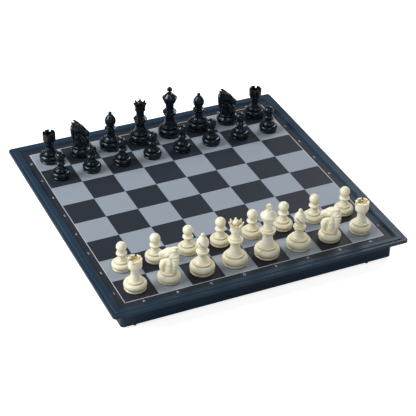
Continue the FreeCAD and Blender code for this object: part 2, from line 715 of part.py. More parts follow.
def knight_body():
    start, steps = foot_outline(dim.knight_foot, dim.minor_belly, dim.minor_magnet)
    low = dim.minor_belly + dim.bead_high
    steps.append(((ZERO, low),))
    body = turned_body("knight_body", start, steps)
    high = dim.knight_tall - low
    reach = dim.knight_reach

    def spot(forward, upward):
        return (reach * forward, low + high * upward)

    # The horse from the side: chest, throat, chin, muzzle, brow, ears, mane and back.
    horse = new_sketch(body, "knight_horse", "XZ_Plane")
    foot = -dim.bead_swell
    draw_outline(horse, (reach * 0.63, low + foot), [
        (spot(0.62, 0.03),),
        (spot(0.84, 0.22), spot(0.54, 0.40)),
        (spot(0.31, 0.47),),
        (spot(0.48, 0.51),),
        (spot(0.77, 0.47),),
        (spot(1.0, 0.55), spot(0.92, 0.655)),
        (spot(0.23, 0.86),),
        (spot(-0.08, 0.905),),
        (spot(-0.54, 1.0),),
        (spot(-0.54, 0.90),),
        (spot(-0.96, 0.61), spot(-0.83, 0.24)),
        (spot(-0.71, 0.11),),
        ((reach * -0.73, low + foot),),
    ])
    extrude(body, "Pad", horse, dim.knight_neck, both_ways=True)

    # The horse from the front: broad shoulders, a narrower head and two ears.
    flanks = new_sketch(body, "knight_flanks", "YZ_Plane")
    for side in (-1, 1):
        shoulder = dim.knight_neck / 2 * side
        head = dim.knight_head / 2 * side
        outside = dim.knight_neck * side
        draw_outline(flanks, (shoulder, low + high * 0.02), [
            ((head * 1.12, low + high * 0.24), (head, low + high * 0.52)),
            ((head, low + high * 0.84),),
            ((head * 0.42, low + high * 1.02),),
            ((outside, low + high * 1.02),),
            ((outside, low + high * 0.02),),
        ])
    extrude(body, "Pocket", flanks, as_size(LONG_CUT), both_ways=True)

    # The muzzle narrows towards the front.
    cheeks = new_sketch(body, "knight_cheeks", "XY_Plane", lift=low + high * 0.465)
    for side in (-1, 1):
        head = dim.knight_head / 2 * side
        muzzle = dim.knight_muzzle / 2 * side
        outside = dim.knight_neck * side
        draw_outline(cheeks, (reach * 0.2, head), [
            ((reach * 0.62, muzzle),),
            ((reach * 1.1, muzzle),),
            ((reach * 1.1, outside),),
            ((reach * 0.2, outside),),
        ])
    extrude(body, "Pocket", cheeks, dim.knight_tall, turned=True)
    return body


def disc(name, radius, bottom, thick):
    cylinder = doc.addObject("Part::Cylinder", name)
    cylinder.setExpression("Radius", radius.text)
    cylinder.setExpression("Height", thick.text)
    cylinder.setExpression("Placement.Base.z", bottom.text)
    return cylinder


def chessman_kinds():
    """For each kind its moulded body, the magnet in the foot and the felt pad under it."""
    officer = dim.officer_magnet
    minor = dim.minor_magnet
    makers = {
        "king": (king_body, dim.king_foot, officer),
        "queen": (queen_body, dim.queen_foot, officer),
        "bishop": (bishop_body, dim.bishop_foot, officer),
        "knight": (knight_body, dim.knight_foot, minor),
        "rook": (rook_body, dim.rook_foot, minor),
        "pawn": (pawn_body, dim.pawn_foot, dim.pawn_magnet),
    }
    kinds = {}
    for kind, (maker, foot, magnet) in makers.items():
        kinds[kind] = [
            maker(),
            disc(f"{kind}_magnet", magnet / 2, dim.pad_thick, dim.magnet_thick),
            disc(f"{kind}_pad", foot / 2 - dim.pad_inset, ZERO, dim.pad_thick),
        ]
    return kinds


def place_chessman(label, solids, file_number, rank_number, own_turn, side_turn):
    chessman = doc.addObject("Part::Compound", label)
    chessman.Links = solids
    chessman.Placement = FreeCAD.Placement(FreeCAD.Vector(), FreeCAD.Vector(0, 0, 1), side_turn)
    middle = (len(FILES) - 1) / 2
    chessman.setExpression("Placement.Base.x", (dim.square * (file_number - middle)).text)
    chessman.setExpression("Placement.Base.y", (dim.square * (rank_number - middle)).text)
    chessman.setExpression("Placement.Base.z", playing_level.text)
    chessman.setExpression("Placement.Rotation.Angle", (own_turn + side_turn).text)
    return chessman


def army(colour, back_rank, pawn_rank, side_turn, kinds):
    own_turn = {"king": dim.facing, "bishop": dim.facing, "knight": dim.knight_heading}
    men = []
    for number, (file_name, kind) in enumerate(zip(FILES, BACK_ROW)):
        label = f"{colour}_{kind}" if BACK_ROW.count(kind) == 1 else f"{colour}_{kind}_{file_name}"
        turned = own_turn.get(kind, ZERO)
        men.append(place_chessman(label, kinds[kind], number, back_rank, turned, side_turn))
        pawn = f"{colour}_pawn_{file_name}"
        men.append(place_chessman(pawn, kinds["pawn"], number, pawn_rank, ZERO, side_turn))
    return men


sub_parts = [half_case("rear_case", HALF_TURN), half_case("front_case", WHITE_TURN)]
for side, near_side in (("rear", False), ("front", True)):
    sub_parts.append(inlay(f"{side}_steel_plate", near_side, deck_top, dim.plate_thick))
    sheet_bottom = playing_level - dim.sheet_thick
    sub_parts.append(inlay(f"{side}_board_sheet", near_side, sheet_bottom, dim.sheet_thick))
for place, hinge in zip(("left", "middle", "right"), HINGES):
    sub_parts.append(hinge_pin(f"hinge_pin_{place}", hinge))
kinds = chessman_kinds()
sub_parts += army("white", 0, 1, WHITE_TURN, kinds)
sub_parts += army("black", len(FILES) - 1, len(FILES) - 2, HALF_TURN, kinds)

doc.recompute()
for thing in doc.Objects:
    if "Invalid" in thing.State or "Error" in thing.State:
        raise RuntimeError(f"{thing.Label} failed: {thing.State}")
for part in sub_parts:
    if part.Shape.isNull() or not part.Shape.isValid():
        raise RuntimeError(f"{part.Label} has no valid shape")

os.makedirs("parts", exist_ok=True)
for part in sub_parts:
    part.Shape.exportStep(f"parts/{part.Label}.step")
    box = part.Shape.BoundBox
    low = (round(box.XMin, 2), round(box.YMin, 2), round(box.ZMin, 2))
    high = (round(box.XMax, 2), round(box.YMax, 2), round(box.ZMax, 2))
    print(part.Label, len(part.Shape.Solids), "solids", round(part.Shape.Volume), "mm3", low, high)
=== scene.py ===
"""Looks of a folding chess set: case, printed board, chessmen, studio stage."""

import math

import bmesh
import bpy
from mathutils import Matrix, Vector


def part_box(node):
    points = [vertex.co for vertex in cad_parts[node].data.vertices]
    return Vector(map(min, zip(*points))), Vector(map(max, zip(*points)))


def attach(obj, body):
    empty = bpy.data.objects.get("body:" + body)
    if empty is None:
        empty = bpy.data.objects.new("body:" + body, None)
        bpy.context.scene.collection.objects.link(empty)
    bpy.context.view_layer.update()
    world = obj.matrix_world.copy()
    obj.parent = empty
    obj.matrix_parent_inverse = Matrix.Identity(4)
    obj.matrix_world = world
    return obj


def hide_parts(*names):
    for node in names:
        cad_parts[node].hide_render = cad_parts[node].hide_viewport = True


bl_info = {
    "name": "Folding chess set",
    "version": (1, 0, 0),
    "blender": (4, 5, 0),
    "location": "View3D > Sidebar > Chess set",
    "description": "Dresses the case, the board and the chessmen of a folding chess set",
    "category": "Object",
}

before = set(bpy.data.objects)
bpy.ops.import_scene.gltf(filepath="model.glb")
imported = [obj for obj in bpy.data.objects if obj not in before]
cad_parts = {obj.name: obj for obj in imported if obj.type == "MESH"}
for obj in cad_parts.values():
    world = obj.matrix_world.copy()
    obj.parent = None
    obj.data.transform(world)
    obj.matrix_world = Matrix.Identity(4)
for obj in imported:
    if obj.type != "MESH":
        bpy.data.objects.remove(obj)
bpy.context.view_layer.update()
SHEET_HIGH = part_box("front_board_sheet")[1]
BOARD_LEVEL = SHEET_HIGH.z
SHEET_HALF = SHEET_HIGH.x
MM = 0.001
FILES = "abcdefgh"
KNIGHT_FILES = "bg"
# Squares from the middle of the board to its edge, and to the middle of an outer square.
FIELD_HALF = len(FILES) / 2
OUTER_SQUARE = FIELD_HALF - 0.5
HALVES = {"front": -1, "rear": 1}
RANKS = {"front": "1234", "rear": "5678"}
WHITE = (1.0, 1.0, 1.0, 1.0)


# Node and mesh helpers.
def socket_name(key):
    """The label of a socket, from a keyword."""
    return key.replace("_", " ").title().replace("Ior", "IOR")


def feed(tree, socket, value):
    """Links an input to another node's output, or sets its plain value."""
    if isinstance(value, bpy.types.NodeSocket):
        tree.links.new(value, socket)
    else:
        socket.default_value = value


def link_sockets(tree, *pairs):
    for output, target in pairs:
        tree.links.new(output, target)


def add_node(tree, kind, inputs=None, **settings):
    """A node with its settings and its inputs."""
    node = tree.nodes.new(kind)
    for name, value in settings.items():
        setattr(node, name, value)
    for name, value in (inputs or {}).items():
        feed(tree, node.inputs[name], value)
    return node


def maths(tree, operation, first, second=None):
    """The result of one Math node."""
    node = add_node(tree, "ShaderNodeMath", operation=operation)
    feed(tree, node.inputs[0], first)
    if second is not None:
        feed(tree, node.inputs[1], second)
    return node.outputs[0]


def mix_colours(tree, factor, first, second):
    """The result of one Mix node, whose sockets for colours have these places."""
    at_factor, at_first, at_second, at_result = 0, 6, 7, 2
    inputs = {at_factor: factor, at_first: first, at_second: second}
    return add_node(tree, "ShaderNodeMix", inputs, data_type="RGBA").outputs[at_result]


def noise(tree, place, scale, detail):
    """The value of one Noise Texture node."""
    inputs = {"Vector": place, "Scale": scale, "Detail": detail}
    return add_node(tree, "ShaderNodeTexNoise", inputs).outputs["Fac"]


def object_place(tree):
    return add_node(tree, "ShaderNodeTexCoord").outputs["Object"]


def rgba(colour, shade=1.0):
    return (colour[0] * shade, colour[1] * shade, colour[2] * shade, 1.0)


def two_tone(tree, factor, colour, dark, pale):
    """A colour that drifts between a darker and a paler shade of itself."""
    return mix_colours(tree, factor, rgba(colour, dark), rgba(colour, pale))


def new_material(name, **values):
    """A material with one Principled shader, whose plain values are set on its own sockets."""
    material = bpy.data.materials.new(name)
    material.use_nodes = True
    shader = material.node_tree.nodes["Principled BSDF"]
    for key, value in values.items():
        shader.inputs[socket_name(key)].default_value = value
    return material, material.node_tree, shader


def new_group(name, inputs, outputs):
    """A shader node group with named float inputs and its outputs."""
    group = bpy.data.node_groups.new(name, "ShaderNodeTree")
    for socket, value in inputs.items():
        made = group.interface.new_socket(socket, in_out="INPUT", socket_type="NodeSocketFloat")
        made.default_value = value
    for socket in outputs:
        group.interface.new_socket(socket, in_out="OUTPUT", socket_type="NodeSocketFloat")
    return group, group.nodes.new("NodeGroupInput"), group.nodes.new("NodeGroupOutput")


def moulded_skin_group():
    """Moulded plastic: broad shade drift, fine skin grain and an uneven gloss."""
    name = "moulded_skin"
    if name in bpy.data.node_groups:
        return bpy.data.node_groups[name]
    group, entry, leave = new_group(
        name,
        {"Grain Scale": 900.0, "Drift Scale": 14.0, "Gloss": 0.3, "Gloss Drift": 0.1},
        ("Shade", "Roughness", "Height"),
    )
    given = entry.outputs
    place = object_place(group)
    grain = noise(group, place, given["Grain Scale"], detail=3.0)
    drift = noise(group, place, given["Drift Scale"], detail=4.0)
    noise_middle = 0.5
    gloss, speck = (
        maths(group, "MULTIPLY", maths(group, "SUBTRACT", value, noise_middle), given["Gloss Drift"])
        for value in (drift, grain)
    )
    rough = maths(group, "ADD", given["Gloss"], maths(group, "ADD", gloss, speck))
    link_sockets(
        group,
        (drift, leave.inputs["Shade"]),
        (rough, leave.inputs["Roughness"]),
        (grain, leave.inputs["Height"]),
    )
    return group


def moulded_skin(tree, **values):
    """The outputs of the moulded skin in a material."""
    node = add_node(tree, "ShaderNodeGroup", node_tree=moulded_skin_group())
    for key, value in values.items():
        node.inputs[socket_name(key)].default_value = value
    return node.outputs


def add_bump(tree, shader, height, strength, distance):
    bump = add_node(tree, "ShaderNodeBump", {"Height": height, "Strength": strength, "Distance": distance})
    tree.links.new(bump.outputs["Normal"], shader.inputs["Normal"])


def paint(node_name, material):
    """Gives a CAD node one material."""
    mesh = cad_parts[node_name].data
    mesh.materials.clear()
    mesh.materials.append(material)


def new_piece(name, mesh, body):
    """An object for a finished mesh, on its body."""
    piece = bpy.data.objects.new(name, mesh)
    bpy.context.scene.collection.objects.link(piece)
    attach(piece, body)
    return piece


# Materials.
def case_material(settings):
    """Dark blue moulded plastic, with a highlight painted in paler colour along its edges."""
    material, tree, shader = new_material("case_plastic", specular_ior_level=0.18)
    skin = moulded_skin(tree, grain_scale=700.0, drift_scale=18.0, gloss=settings.roughness, gloss_drift=0.16)
    even = two_tone(tree, skin["Shade"], settings.colour, dark=0.82, pale=1.22)
    # The rounded normal leaves the true one only near an edge.
    rounded = add_node(tree, "ShaderNodeBevel", {"Radius": settings.edge}, samples=6).outputs[0]
    true = add_node(tree, "ShaderNodeNewGeometry").outputs["Normal"]
    match = add_node(tree, "ShaderNodeVectorMath", {0: rounded, 1: true}, operation="DOT_PRODUCT")
    edge = add_node(
        tree, "ShaderNodeMapRange", {"Value": match.outputs["Value"], "From Min": 1.0, "From Max": 0.86}
    )
    # Painted highlight: a paler colour mixed in along every edge, where the light would glint.
    painted_edge_highlight = maths(tree, "MULTIPLY", edge.outputs["Result"], skin["Shade"])
    feed(tree, shader.inputs["Base Color"], mix_colours(tree, painted_edge_highlight, even, rgba(settings.painted_edge_highlight)))
    feed(tree, shader.inputs["Roughness"], skin["Roughness"])
    add_bump(tree, shader, skin["Height"], strength=0.12, distance=0.15 * MM)
    return material


def steel_material(name, colour, roughness):
    """Steel with the fine lines of its rolling along x."""
    material, tree, shader = new_material(name, metallic=1.0)
    place = object_place(tree)
    stretch = add_node(tree, "ShaderNodeMapping", {"Vector": place, "Scale": (40.0, 1600.0, 1600.0)})
    lines = noise(tree, stretch.outputs["Vector"], scale=1.0, detail=2.0)
    line_roughness = 0.12
    feed(tree, shader.inputs["Base Color"], two_tone(tree, lines, colour, dark=0.8, pale=1.1))
    rough = maths(tree, "ADD", roughness, maths(tree, "MULTIPLY", lines, line_roughness))
    feed(tree, shader.inputs["Roughness"], rough)
    return material


def board_material(settings):
    """Laminated print: light squares on black, inside a black border."""
    material, tree, shader = new_material("board_print", specular_ior_level=0.12)
    place = object_place(tree)
    checks = add_node(tree, "ShaderNodeTexChecker", {"Vector": place, "Scale": 1.0 / settings.square})
    split = add_node(tree, "ShaderNodeSeparateXYZ", {"Vector": place})
    half = FIELD_HALF * settings.square
    inside = [maths(tree, "LESS_THAN", maths(tree, "ABSOLUTE", split.outputs[axis]), half) for axis in "XY"]
    light = maths(tree, "MULTIPLY", checks.outputs["Fac"], maths(tree, "MULTIPLY", *inside))
    skin = moulded_skin(tree, grain_scale=1500.0, drift_scale=9.0, gloss=settings.roughness, gloss_drift=0.1)
    ink = two_tone(tree, skin["Shade"], settings.dark, dark=0.85, pale=1.15)
    grey = two_tone(tree, skin["Shade"], settings.light, dark=0.95, pale=1.05)
    feed(tree, shader.inputs["Base Color"], mix_colours(tree, light, ink, grey))
    feed(tree, shader.inputs["Roughness"], skin["Roughness"])
    add_bump(tree, shader, skin["Height"], strength=0.06, distance=0.08 * MM)
    return material


def ink_material(name, colour):
    """Pale printing ink with an uneven, slightly worn film."""
    material, tree, shader = new_material(name, specular_ior_level=0.4)
    skin = moulded_skin(tree, grain_scale=2400.0, drift_scale=60.0, gloss=0.42, gloss_drift=0.2)
    feed(tree, shader.inputs["Base Color"], two_tone(tree, skin["Shade"], colour, dark=0.8, pale=1.1))
    feed(tree, shader.inputs["Roughness"], skin["Roughness"])
    return material


# How the plastics of the two sides take the light.
PLASTICS = {
    "white": {"roughness": 0.3, "shine": 0.6, "sheen": (1.0, 1.0, 1.0), "scatter": 0.06},
    "black": {"roughness": 0.22, "shine": 0.55, "sheen": (0.7, 0.88, 1.0), "scatter": 0.0},
}
SCATTER_DEPTH = 2.0 * MM
# How far the painted shade in the creases looks for nearby surfaces.
PAINTED_SHADE_REACH = 14.0 * MM
FELT_ROUGHNESS = 0.95
# The felt ends just under the top of the pad.
FELT_SHARE = 0.96


def chessman_material(name, men, colour, painted_crease_shade, roughness, shine, sheen, scatter):
    """Moulded chessman: its plastic with painted shade darkening the creases, on a felt pad."""
    material, tree, shader = new_material(
        name,
        specular_ior_level=shine,
        specular_tint=rgba(sheen),
        subsurface_weight=scatter,
        subsurface_scale=SCATTER_DEPTH,
    )
    place = object_place(tree)
    skin = moulded_skin(tree, grain_scale=1200.0, drift_scale=70.0, gloss=roughness, gloss_drift=0.12)
    # Painted shade: where ambient occlusion finds a hollow, the plastic colour turns to the crease shade
    # colour.
    hollows = add_node(tree, "ShaderNodeAmbientOcclusion", {"Distance": PAINTED_SHADE_REACH}, samples=8)
    open_air = add_node(
        tree, "ShaderNodeMapRange", {"Value": hollows.outputs["AO"], "From Min": 0.2, "From Max": 0.95}
    )
    even = two_tone(tree, skin["Shade"], colour, dark=0.96, pale=1.03)
    body = mix_colours(tree, open_air.outputs["Result"], rgba(painted_crease_shade), even)
    height = add_node(tree, "ShaderNodeSeparateXYZ", {"Vector": place}).outputs["Z"]
    on_pad = maths(tree, "LESS_THAN", height, BOARD_LEVEL + men.pad_thick * FELT_SHARE)
    cloth = two_tone(tree, noise(tree, place, scale=2600.0, detail=4.0), men.felt, dark=0.6, pale=1.3)
    feed(tree, shader.inputs["Base Color"], mix_colours(tree, on_pad, body, cloth))
    rough = maths(tree, "MAXIMUM", skin["Roughness"], maths(tree, "MULTIPLY", on_pad, FELT_ROUGHNESS))
    feed(tree, shader.inputs["Roughness"], rough)
    add_bump(tree, shader, skin["Height"], strength=0.05, distance=0.08 * MM)
    return material


# Geometry Nodes for the printed marks.
# The middle of a character, right of its start and above its baseline, in shares of its size.
GLYPH_MIDDLE = (0.3, 0.35)


def geometry_tree(name, sizes):
    """An empty tree with named float inputs, a material input and the geometry sockets."""
    tree = bpy.data.node_groups.new(name, "GeometryNodeTree")
    tree.interface.new_socket("Geometry", in_out="INPUT", socket_type="NodeSocketGeometry")
    for socket, value in {**sizes, "Level": BOARD_LEVEL}.items():
        made = tree.interface.new_socket(socket, in_out="INPUT", socket_type="NodeSocketFloat")
        made.default_value = value
    tree.interface.new_socket("Material", in_out="INPUT", socket_type="NodeSocketMaterial")
    tree.interface.new_socket("Geometry", in_out="OUTPUT", socket_type="NodeSocketGeometry")
    return tree, tree.nodes.new("NodeGroupInput"), tree.nodes.new("NodeGroupOutput")


def film_of(tree, curve, thick):
    """A closed thin film from flat closed curves."""
    flat = add_node(tree, "GeometryNodeFillCurve", {"Curve": curve}).outputs["Mesh"]
    raised = add_node(
        tree, "GeometryNodeExtrudeMesh", {"Mesh": flat, "Offset Scale": thick, "Individual": False}
    )
    under = add_node(tree, "GeometryNodeFlipFaces", {"Mesh": flat})
    both = tree.nodes.new("GeometryNodeJoinGeometry")
    link_sockets(tree, (raised.outputs["Mesh"], both.inputs[0]), (under.outputs["Mesh"], both.inputs[0]))
    return both.outputs[0]


def mark_row(tree, entry, text, start, step, turn):
    """One character of the text beside each square of a row, each about its own middle."""
    size = entry.outputs["Mark Size"]
    glyphs = add_node(
        tree, "GeometryNodeStringToCurves", {"String": text, "Size": size}, align_x="CENTER", align_y="MIDDLE"
    )
    index = tree.nodes.new("GeometryNodeInputIndex").outputs[0]
    spot = []
    for axis, middle in enumerate(GLYPH_MIDDLE):
        run = maths(tree, "MULTIPLY", index, step[axis])
        back = maths(tree, "MULTIPLY", size, -middle * math.cos(turn))
        spot.append(maths(tree, "ADD", maths(tree, "ADD", run, start[axis]), back))
    where = add_node(tree, "ShaderNodeCombineXYZ", {"X": spot[0], "Y": spot[1]}).outputs[0]
    facing = add_node(
        tree, "FunctionNodeCombineTransform", {"Translation": where, "Rotation": (0.0, 0.0, turn)}
    )
    placed = add_node(
        tree,
        "GeometryNodeSetInstanceTransform",
        {"Instances": glyphs.outputs["Curve Instances"], "Transform": facing.outputs[0]},
    )
    return add_node(tree, "GeometryNodeRealizeInstances", {"Geometry": placed.outputs[0]}).outputs[0]


def finish_tree(tree, entry, leave, geometry):
    """Lifts the marks to the board, makes them real and inks them."""
    lift = add_node(tree, "ShaderNodeCombineXYZ", {"Z": entry.outputs["Level"]}).outputs[0]
    raised = add_node(tree, "GeometryNodeTransform", {"Geometry": geometry, "Translation": lift}).outputs[0]
    whole = add_node(tree, "GeometryNodeRealizeInstances", {"Geometry": raised}).outputs[0]
    inked = add_node(
        tree, "GeometryNodeSetMaterial", {"Geometry": whole, "Material": entry.outputs["Material"]}
    )
    tree.links.new(inked.outputs[0], leave.inputs[0])


def marks_tree(half, settings):
    """Letters along the outer edge and numbers up the two sides of one half of the board."""
    sizes = {"Mark Size": settings.mark_size, "Film": settings.film}
    tree, entry, leave = geometry_tree(f"{half}_marks_nodes", sizes)
    side = HALVES[half]
    square = settings.square
    band = (FIELD_HALF * square + SHEET_HALF) / 2 + settings.line_width
    first = -OUTER_SQUARE * square
    low = first if side < 0 else square / 2
    turn = 0.0 if side < 0 else math.pi
    joined = tree.nodes.new("GeometryNodeJoinGeometry")
    for text, start, step in (
        (FILES.upper(), (first, side * band), (square, 0.0)),
        (RANKS[half], (-band, low), (0.0, square)),
        (RANKS[half], (band, low), (0.0, square)),
    ):
        row = mark_row(tree, entry, text, start, step, turn)
        tree.links.new(film_of(tree, row, entry.outputs["Film"]), joined.inputs[0])
    finish_tree(tree, entry, leave, joined.outputs[0])
    return tree, sizes


def line_tree(half, settings):
    """The thin line round the squares, on the three outer sides of one half."""
    sizes = {"Line Width": settings.line_width, "Film": settings.film}
    tree, entry, leave = geometry_tree(f"{half}_line_nodes", sizes)
    reach = FIELD_HALF * settings.square
    seam, outer = (HALVES[half] * away for away in (abs(SHEET_HIGH.y), reach))
    corners = [(-reach, seam), (-reach, outer), (reach, outer), (reach, seam)]
    joined = tree.nodes.new("GeometryNodeJoinGeometry")
    for (x0, y0), (x1, y1) in zip(corners, corners[1:]):
        wide, high = abs(x1 - x0), abs(y1 - y0)
        if wide > high:
            # This side closes the corners too.
            spans = {"Width": wide + settings.line_width, "Height": entry.outputs["Line Width"]}
        else:
            spans = {"Width": entry.outputs["Line Width"], "Height": high}
        run = add_node(tree, "GeometryNodeCurvePrimitiveQuadrilateral", spans, mode="RECTANGLE").outputs[0]
        middle = ((x0 + x1) / 2, (y0 + y1) / 2, 0.0)
        moved = add_node(tree, "GeometryNodeTransform", {"Geometry": run, "Translation": middle}).outputs[0]
        tree.links.new(film_of(tree, moved, entry.outputs["Film"]), joined.inputs[0])
    finish_tree(tree, entry, leave, joined.outputs[0])
    return tree, sizes


def grow(name, tree, sizes, material, body):
    """Runs a tree on an empty object and keeps the result as a plain mesh piece on a body."""
    seed = bpy.data.objects.new(name, bpy.data.meshes.new(f"{name}_seed"))
    bpy.context.scene.collection.objects.link(seed)
    modifier = seed.modifiers.new("nodes", "NODES")
    modifier.node_group = tree
    values = {**sizes, "Material": material}
    for item in tree.interface.items_tree:
        if item.in_out == "INPUT" and item.name in values:
            modifier[item.identifier] = values[item.name]
    depsgraph = bpy.context.evaluated_depsgraph_get()
    mesh = bpy.data.meshes.new_from_object(seed.evaluated_get(depsgraph), depsgraph=depsgraph)
    if not mesh.polygons:
        raise RuntimeError(f"{name} made no faces")
    seed.modifiers.remove(modifier)
    seed.data = mesh
    mesh.materials.clear()
    mesh.materials.append(material)
    mesh.polygons.foreach_set("material_index", [0] * len(mesh.polygons))
    mesh.name = name
    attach(seed, body)


# Sculpted horse of the knights, in millimetres from the middle of the foot.
# A ring: forward, up, half depth, half width, lean in degrees, aside.
HORSE_SKINS = (
    # Neck and mane.
    ((-0.6, 7.6, 7.2, 6.6, 0, 0), (-1.2, 10.4, 6.8, 5.6, 0, 0), (-2.2, 14.5, 6.4, 4.8, 0, 0),
     (-3.2, 19.0, 6.4, 4.4, -4, 0), (-4.2, 23.0, 6.3, 4.3, -8, 0), (-4.9, 27.0, 6.1, 4.3, -12, 0),
     (-5.1, 31.0, 5.8, 4.1, -18, 0), (-4.7, 34.4, 4.6, 3.6, -26, 0), (-4.3, 36.6, 2.4, 2.3, -30, 0)),
    # Breast.
    ((2.6, 7.6, 5.2, 5.6, 0, 0), (3.8, 11.0, 5.8, 5.6, 0, 0), (4.8, 15.0, 5.7, 5.3, 8, 0),
     (4.4, 18.6, 5.0, 4.7, 20, 0), (2.4, 21.8, 3.8, 3.8, 35, 0), (0.0, 24.2, 2.4, 2.9, 50, 0)),
    # Flanks, between breast and neck.
    ((0.6, 7.6, 6.4, 6.2, 0, 0), (0.8, 12.0, 6.0, 5.5, 0, 0), (0.8, 17.0, 5.2, 5.0, 0, 0),
     (-0.2, 21.5, 4.6, 4.4, 8, 0), (-1.4, 25.5, 4.0, 4.0, 16, 0)),
    # Head, from the poll to the muzzle.
    ((-5.2, 34.4, 3.3, 3.0, 58, 0), (-2.2, 33.4, 4.7, 3.9, 60, 0), (1.0, 31.6, 5.0, 4.1, 62, 0),
     (3.8, 29.9, 4.4, 3.5, 66, 0), (6.2, 28.5, 3.8, 3.1, 70, 0), (8.2, 27.4, 3.6, 3.1, 74, 0),
     (9.6, 26.7, 3.3, 3.0, 78, 0), (10.6, 26.2, 2.4, 2.3, 80, 0)),
    # Ears.
    *(((-2.2, 35.0, 2.6, 2.0, 55, 1.8 * side), (-4.6, 36.9, 2.3, 1.8, 55, 2.2 * side),
       (-7.0, 38.5, 1.5, 1.2, 55, 2.5 * side), (-9.0, 39.7, 0.4, 0.4, 55, 2.7 * side)) for side in (1, -1)),
)
# A stroke: forward, aside, up, radius, push. Each is pressed on both flanks.
HORSE_STROKES = (
    # Eye socket, eyeball, brow and cheek.
    (1.8, 4.0, 33.8, 1.5, -1.0), (1.9, 3.6, 33.6, 0.7, 0.8), (1.0, 3.4, 35.6, 1.4, 0.7),
    (-0.6, 4.1, 30.4, 2.4, 0.8),
    # Hollow of the nose, nostril, its ridge and the mouth.
    (4.6, 3.3, 29.0, 1.7, -0.7), (10.2, 2.4, 28.0, 0.9, -0.8), (9.0, 2.6, 29.0, 0.9, 0.35),
    (9.8, 2.3, 25.4, 0.8, -0.9), (8.2, 2.7, 25.8, 0.8, -0.7),
    # Hollow of the ear, and the ridge down the flank.
    (-5.0, 3.6, 37.6, 1.2, -0.9), (-2.0, 4.6, 21.0, 1.9, 0.8), (-2.6, 5.2, 15.0, 1.9, 0.5),
    # Groove behind the breast.
    (0.9, 4.6, 22.6, 1.6, -1.0), (1.0, 5.0, 19.8, 1.7, -1.5), (1.5, 5.3, 17.0, 1.7, -1.6),
    (2.0, 5.5, 14.2, 1.7, -1.6), (2.6, 5.6, 11.4, 1.6, -1.4),
    # Groove before the mane.
    (-5.2, 4.4, 27.0, 1.6, -1.1), (-5.4, 4.5, 24.0, 1.6, -1.4), (-5.7, 4.5, 21.0, 1.6, -1.4),
    (-6.0, 4.4, 18.0, 1.6, -1.4), (-6.2, 4.4, 15.0, 1.6, -1.2),
)
HORSE_POINTS = 24
VOXEL = 0.36
SOFTEN_ROUNDS = 5
SOFTEN_SHARE = 0.5
# The locks fade in behind this line and above this height.
MANE_FRONT, MANE_FRONT_FADE = -6.6, 1.8
MANE_LOW, MANE_LOW_FADE = 11.0, 4.0
LOCK_DEPTH = 0.38
LOCK_SLANT = 0.9
# Turned foot: insets from its widest line, heights over the board, and steps of its bowed lines.
PAD_INSET = 1.8
CHAMFER_INSET = 1.0
PLINTH_INSET, PLINTH_LOW, PLINTH_HIGH = 0.5, 1.0, 2.0
GROOVE_INSET, GROOVE_HIGH = 1.1, 2.5
BELLY_WIDEST = 0.4
BELLY_STEPS = 14
SHOULDER_INSET = 2.6
BEAD_INSET, BEAD_SWELL, BEAD_HIGH = 3.9, 0.6, 2.0
BEAD_STEPS = 8
FOOT_POINTS = 72
SHARP_ANGLE = math.radians(40)


def ring_skin(mesh, rings, points):
    """A closed skin through oval rings."""
    turns = [math.tau * step / points for step in range(points)]
    loops = []
    for forward, up, depth, width, lean, aside in rings:
        middle = Vector((forward, aside, up))
        deep = Vector((math.cos(math.radians(lean)), 0.0, math.sin(math.radians(lean)))) * depth
        wide = Vector((0.0, width, 0.0))
        loops.append([
            mesh.verts.new(middle + deep * math.cos(turn) + wide * math.sin(turn)) for turn in turns
        ])
    for low, high in zip(loops, loops[1:]):
        for step in range(points):
            after = (step + 1) % points
            mesh.faces.new((low[step], low[after], high[after], high[step]))
    mesh.faces.new(loops[0][::-1])
    mesh.faces.new(loops[-1])


def melt(mesh):
    """One smooth skin round shapes that overlap."""
    holder = bpy.data.objects.new("melt", mesh)
    bpy.context.scene.collection.objects.link(holder)
    skin = holder.modifiers.new("skin", "REMESH")
    skin.mode = "VOXEL"
    skin.voxel_size = VOXEL
    soften = holder.modifiers.new("soften", "SMOOTH")
    soften.factor = SOFTEN_SHARE
    soften.iterations = SOFTEN_ROUNDS
    depsgraph = bpy.context.evaluated_depsgraph_get()
    melted = bpy.data.meshes.new_from_object(holder.evaluated_get(depsgraph), depsgraph=depsgraph)
    bpy.data.objects.remove(holder)
    bpy.data.meshes.remove(mesh)
    return melted


def fade(distance, length):
    """From 0 to 1 over a length."""
    return min(max(distance / length, 0.0), 1.0)


def carve_horse(mesh, lock):
    """Presses the strokes into the horse and draws the locks of the mane."""
    for vertex in mesh.verts:
        forward, aside, up = vertex.co
        push = 0.0
        for at_forward, at_aside, at_up, radius, depth in HORSE_STROKES:
            away = (forward - at_forward) ** 2 + (abs(aside) - at_aside) ** 2 + (up - at_up) ** 2
            push += depth * math.exp(-away / radius ** 2)
        on_mane = fade(MANE_FRONT - forward, MANE_FRONT_FADE) * fade(up - MANE_LOW, MANE_LOW_FADE)
        push += LOCK_DEPTH * on_mane * math.cos(math.tau * (up + LOCK_SLANT * abs(aside)) / lock)
        vertex.co += vertex.normal * push


def bow(start, way, end, steps):
    """Points of a bowed line after its start."""
    made = []
    for step in range(1, steps + 1):
        t = step / steps
        weights = ((1 - t) * (1 - 2 * t), 4 * t * (1 - t), t * (2 * t - 1))
        made.append(tuple(sum(w * p[axis] for w, p in zip(weights, (start, way, end))) for axis in (0, 1)))
    return made


